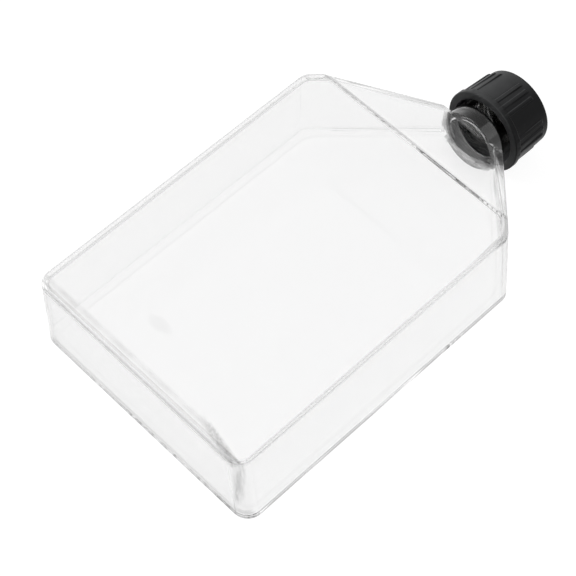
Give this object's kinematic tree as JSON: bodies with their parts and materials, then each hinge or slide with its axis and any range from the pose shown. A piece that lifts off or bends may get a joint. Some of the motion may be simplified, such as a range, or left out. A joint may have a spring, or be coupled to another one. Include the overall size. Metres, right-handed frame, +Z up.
{
  "type": "cell culture flask",
  "caption": "Clear rectangular cell culture flask with a sloping shoulder, a canted threaded neck and a ribbed black screw cap.",
  "frame": {"origin": "centre of the bounding box in plan, on the surface the flask rests on", "axes": "+X from the base end towards the neck and cap, +Y across the flask to its left, +Z up from the surface; the flask rests on its base end's back edge and on the cap's band, tilted by about 3 degrees, growth face up"},
  "size_m": [0.1564, 0.0868, 0.0352],
  "materials": {
    "clear_plastic": "clear colourless moulded polystyrene, high gloss",
    "black_plastic": "black moulded polyethylene, satin gloss",
    "liner_foam": "white closed-cell foam disc, matt"
  },
  "bodies": {
    "flask": {"flask_shell": "clear_plastic", "back_plate": "clear_plastic"},
    "liner": {"cap_liner": "liner_foam"},
    "cap": {"screw_cap": "black_plastic"}
  },
  "joints": [
    {"name": "cap_lift", "type": "slide", "parent": "flask", "child": "liner", "axis": [0.9986, 0, -0.0537], "range_m": [0, 0.0135]},
    {"name": "cap_turn", "type": "hinge", "parent": "liner", "child": "cap", "pos_m": [0.06157, 0, 0.01399], "axis": [0.9986, 0, -0.0537], "range_deg": [0, 1080]}
  ],
  "couplings": [
    {"joint": "cap_lift", "follows": "cap_turn", "m_per_rad": 0.0007162}
  ]
}
